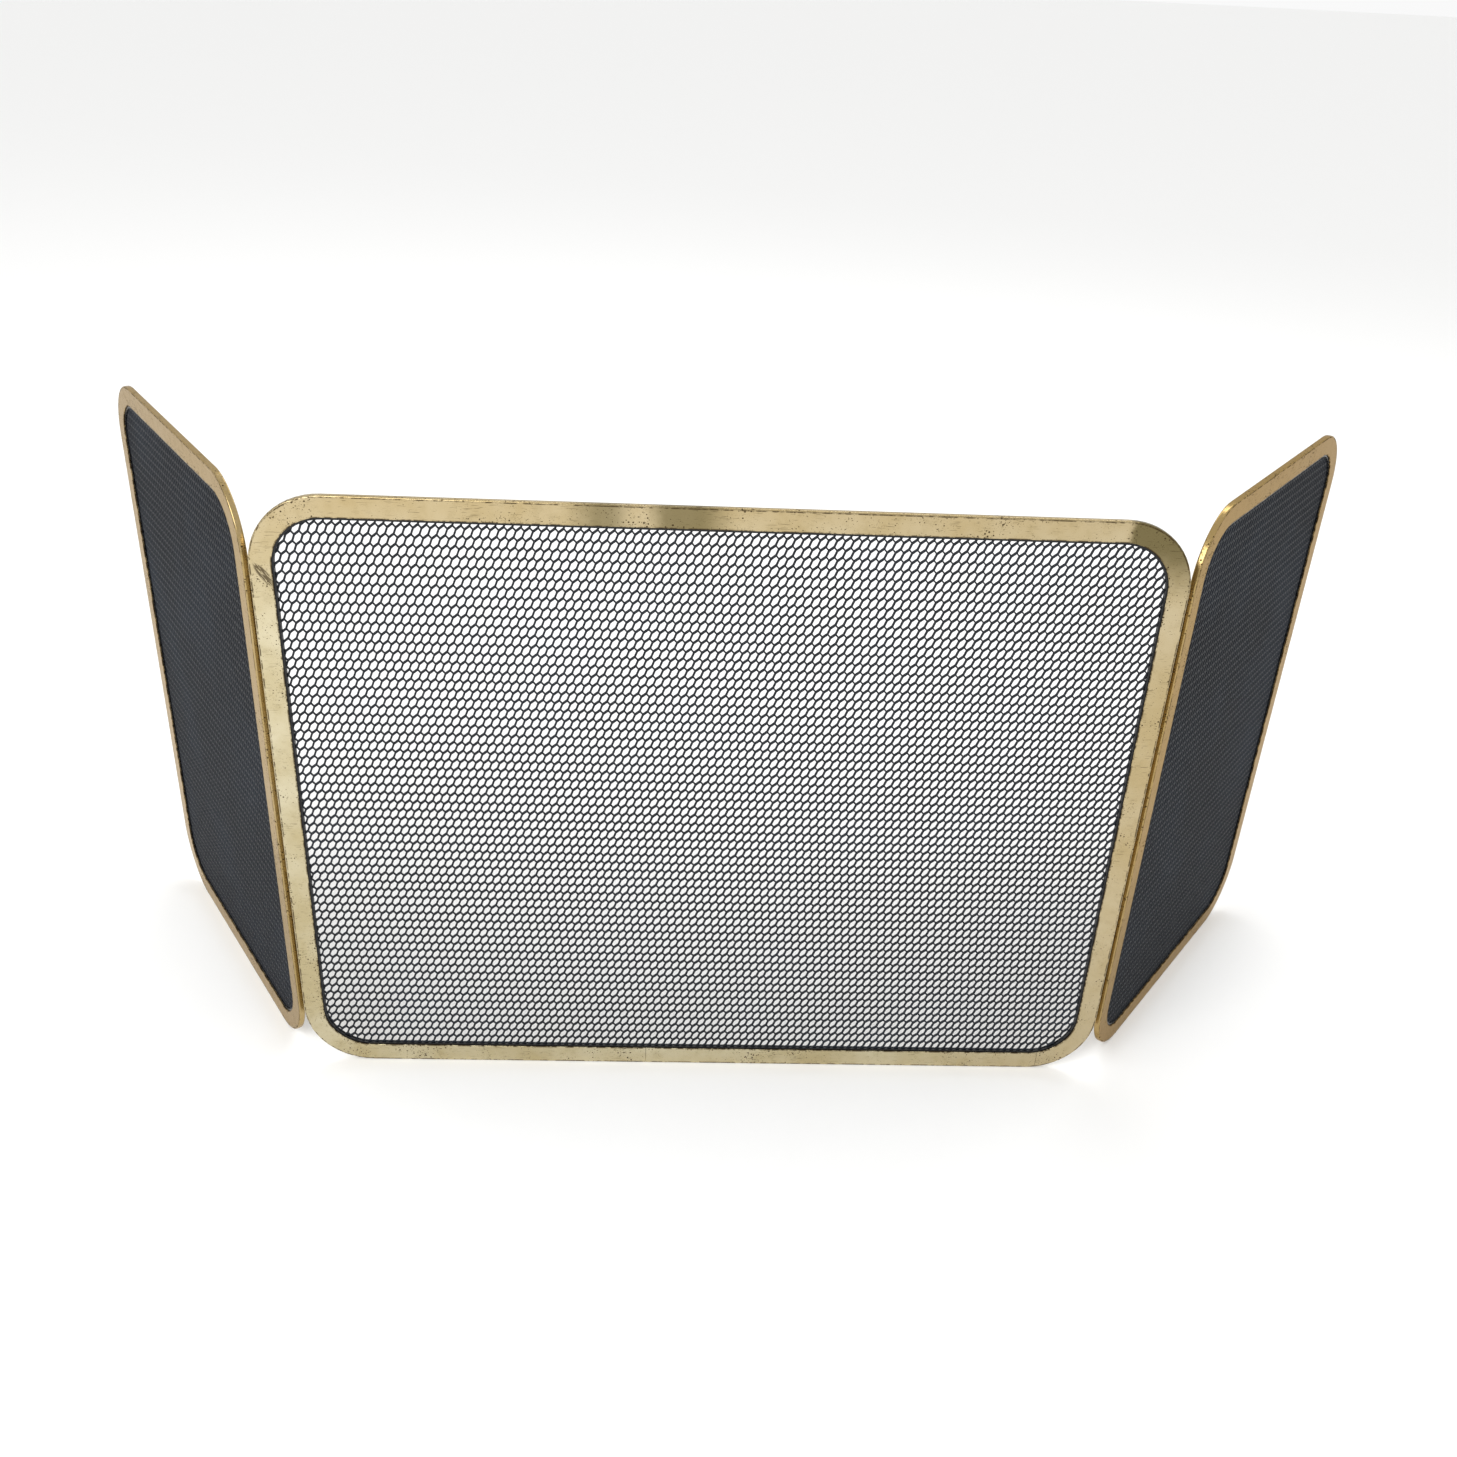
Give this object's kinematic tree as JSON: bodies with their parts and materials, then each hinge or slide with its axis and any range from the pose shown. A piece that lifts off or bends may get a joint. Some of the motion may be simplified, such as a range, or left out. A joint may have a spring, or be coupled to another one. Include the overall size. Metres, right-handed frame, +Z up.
{
  "type": "fireplace screen",
  "caption": "Folding fireplace screen: a centre panel and hinged wings, each a brass channel rim with rounded corners round black wire mesh.",
  "frame": {"origin": "the middle of the bottom face of the centre panel, halfway through the panel's depth", "axes": "+X along the centre panel to the viewer's right, +Y to the rear (towards the fire), +Z up"},
  "size_m": [1.0432, 0.2777, 0.498],
  "materials": {
    "polished_brass": "polished, aged, with pits and tarnish",
    "splice_brass": "dull",
    "black_mesh": "matt black stove paint",
    "black_edging": "satin black paint",
    "hinge_brass": "dark, tarnished",
    "pin_steel": "turned, dull",
    "screw_steel": "slotted heads, dull"
  },
  "bodies": {
    "centre_panel": {"centre_rim": "polished_brass", "centre_rim_closing_piece": "polished_brass", "centre_splices": "splice_brass", "centre_mesh_edging": "black_edging", "centre_mesh": "black_mesh", "centre_rim_screws": "screw_steel", "left_upper_hinge_centre_leaf": "hinge_brass", "left_upper_hinge_pin": "pin_steel", "left_lower_hinge_centre_leaf": "hinge_brass", "left_lower_hinge_pin": "pin_steel", "right_upper_hinge_centre_leaf": "hinge_brass", "right_upper_hinge_pin": "pin_steel", "right_lower_hinge_centre_leaf": "hinge_brass", "right_lower_hinge_pin": "pin_steel", "centre_hinge_screws": "screw_steel"},
    "left_wing": {"left_wing_rim": "polished_brass", "left_wing_splice": "splice_brass", "left_wing_mesh_edging": "black_edging", "left_wing_mesh": "black_mesh", "left_wing_rim_screws": "screw_steel", "left_upper_hinge_wing_leaf": "hinge_brass", "left_lower_hinge_wing_leaf": "hinge_brass", "left_wing_hinge_screws": "screw_steel"},
    "right_wing": {"right_wing_rim": "polished_brass", "right_wing_splice": "splice_brass", "right_wing_mesh_edging": "black_edging", "right_wing_mesh": "black_mesh", "right_wing_rim_screws": "screw_steel", "right_upper_hinge_wing_leaf": "hinge_brass", "right_lower_hinge_wing_leaf": "hinge_brass", "right_wing_hinge_screws": "screw_steel"}
  },
  "joints": [
    {"name": "left_wing_fold", "type": "hinge", "parent": "centre_panel", "child": "left_wing", "pos_m": [-0.328, 0.0048, 0.249], "axis": [0, 0, -1], "range_deg": [-57.5, 122.5]},
    {"name": "right_wing_fold", "type": "hinge", "parent": "centre_panel", "child": "right_wing", "pos_m": [0.328, 0.0048, 0.249], "axis": [0, 0, 1], "range_deg": [-51, 129]}
  ]
}
